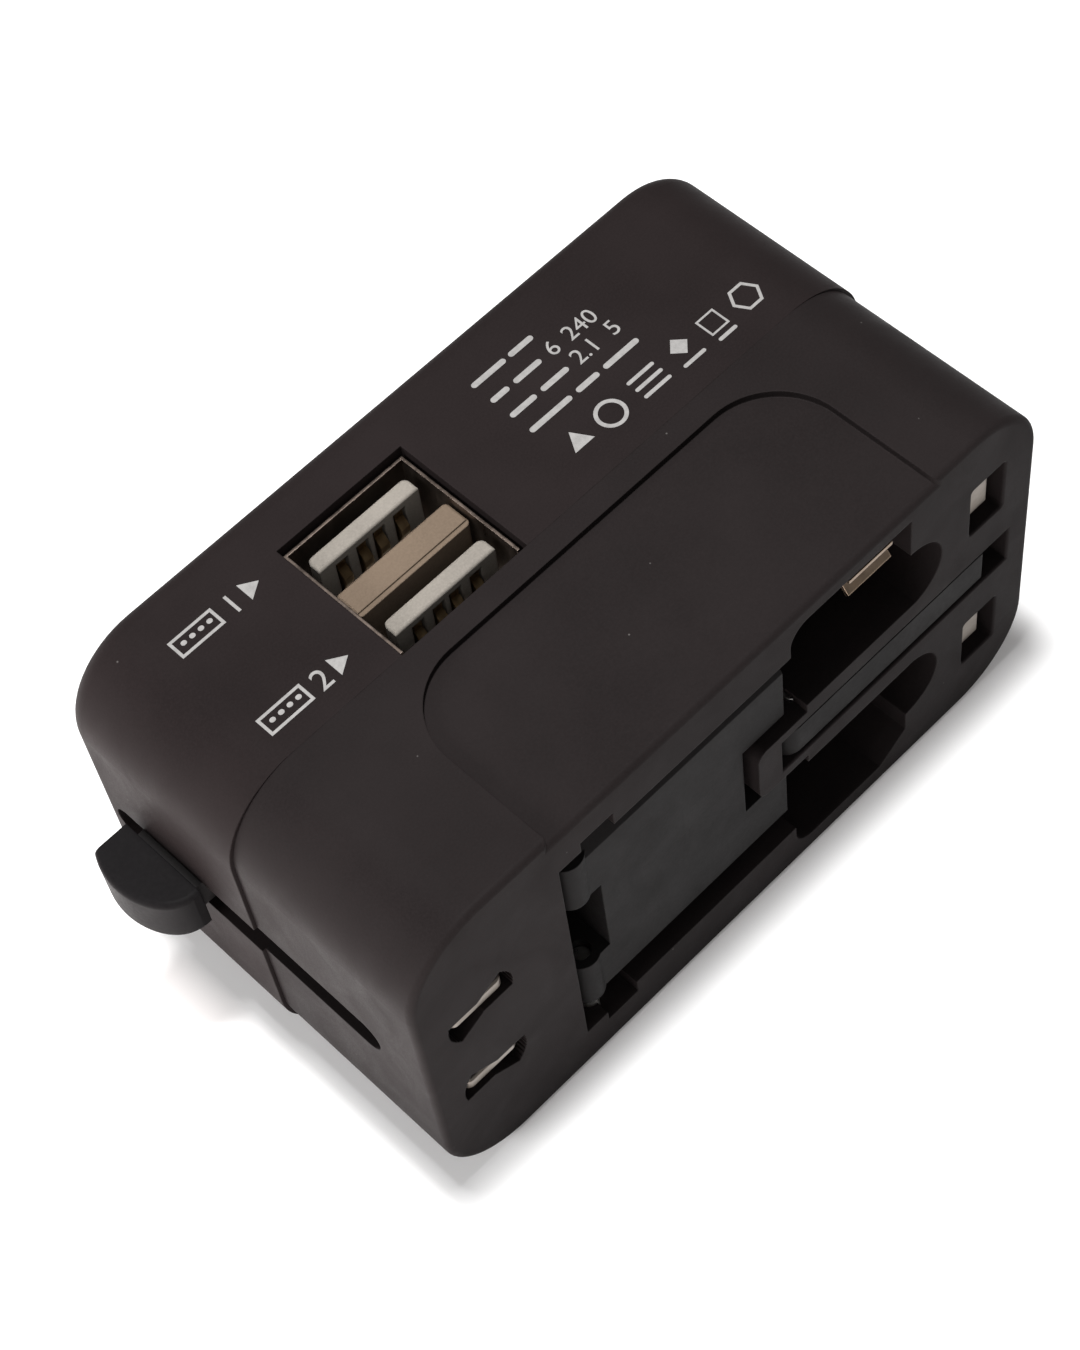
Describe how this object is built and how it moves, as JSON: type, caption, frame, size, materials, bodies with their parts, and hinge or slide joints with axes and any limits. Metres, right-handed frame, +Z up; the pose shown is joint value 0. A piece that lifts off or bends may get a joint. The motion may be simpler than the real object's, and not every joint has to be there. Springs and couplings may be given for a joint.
{
  "type": "universal travel adapter",
  "caption": "Pocket travel adapter block with slide-out flat blades, slide-out rectangular pins, fold-out round pins, a multi-standard socket and USB ports.",
  "frame": {"origin": "centre of the bounding box's base: the adapter lies on its lower broad face, knobs included in the box", "axes": "+X along the body's length, from the turning blades' end to the rectangular pins' end; +Y towards the socket face, -Y is the plug face; +Z up, through the broad face with the USB window"},
  "size_m": [0.0918, 0.044, 0.044],
  "materials": {
    "rear_housing": "moulded, fine matt texture",
    "front_housing": "moulded, fine matt texture",
    "socket_face": "moulded, satin",
    "plug_plastic": "moulded, satin",
    "knob_plastic": "moulded, satin",
    "frame_plastic": "moulded, plain",
    "sleeve_plastic": "moulded sleeve",
    "screw_steel": "blackened steel",
    "axle_steel": "ground steel",
    "nickel": "nickel-plated brass",
    "brass_strip": "stamped brass",
    "usb_metal": "tinned steel",
    "usb_white": "ivory moulding",
    "usb_beige": "beige moulding",
    "usb_brass": "stamped contact",
    "board_green": "glass-fibre board",
    "ferrite": "ferrite",
    "tape_yellow": "tape-wound coil",
    "capacitor_sleeve": "shrink sleeve",
    "chip_black": "moulded package",
    "fuse_body": "ceramic body"
  },
  "bodies": {
    "housing": {"rear_shell": "rear_housing", "front_shell": "front_housing", "socket_plate": "socket_face", "housing_screws": "screw_steel", "mid_frame": "frame_plastic", "euro_leaf_live": "brass_strip", "euro_leaf_neutral": "brass_strip", "usb_shield": "usb_metal", "usb_divider": "usb_beige", "usb_tongue_front": "usb_white", "usb_tongue_rear": "usb_white", "usb_contacts_front": "usb_brass", "usb_contacts_rear": "usb_brass", "earth_axle": "axle_steel", "euro_axles": "axle_steel", "live_bus": "brass_strip", "neutral_bus": "brass_strip", "socket_contact_live": "brass_strip", "socket_contact_neutral": "brass_strip", "circuit_board": "board_green", "transformer_core": "ferrite", "transformer_winding": "tape_yellow", "capacitor_large": "capacitor_sleeve", "capacitor_small": "capacitor_sleeve", "controller_chip": "chip_black", "inductor": "ferrite", "fuse": "fuse_body", "fuse_clips": "brass_strip"},
    "us_slider": {"us_carriage": "frame_plastic", "us_knob": "knob_plastic"},
    "us_blade_a": {"us_blade_live": "nickel", "us_drum_live": "frame_plastic"},
    "us_blade_b": {"us_blade_neutral": "nickel", "us_drum_neutral": "frame_plastic"},
    "uk_slider": {"uk_carriage": "frame_plastic", "uk_knob": "knob_plastic", "uk_pin_live": "nickel", "uk_pin_neutral": "nickel"},
    "earth_lever": {"earth_pin": "plug_plastic"},
    "euro_plug": {"euro_body": "plug_plastic", "euro_pin_live": "nickel", "euro_pin_neutral": "nickel", "euro_sleeves": "sleeve_plastic"}
  },
  "joints": [
    {"name": "us_slide", "type": "slide", "parent": "housing", "child": "us_slider", "axis": [0, -1, 0], "range_m": [0, 0.018]},
    {"name": "us_blade_a_turn", "type": "hinge", "parent": "us_slider", "child": "us_blade_a", "pos_m": [-0.0326, 0, 0.02835], "axis": [0, -1, 0], "range_deg": [0, 30]},
    {"name": "us_blade_b_turn", "type": "hinge", "parent": "us_slider", "child": "us_blade_b", "pos_m": [-0.0326, 0, 0.01565], "axis": [0, 1, 0], "range_deg": [0, 30]},
    {"name": "uk_slide", "type": "slide", "parent": "housing", "child": "uk_slider", "axis": [0, -1, 0], "range_m": [0, 0.0192]},
    {"name": "earth_pin_hinge", "type": "hinge", "parent": "housing", "child": "earth_lever", "pos_m": [0.0089, -0.0196, 0.022], "axis": [0, 0, -1], "range_deg": [0, 90]},
    {"name": "euro_plug_hinge", "type": "hinge", "parent": "housing", "child": "euro_plug", "pos_m": [-0.0195, -0.0196, 0.022], "axis": [0, 0, -1], "range_deg": [0, 90]}
  ]
}
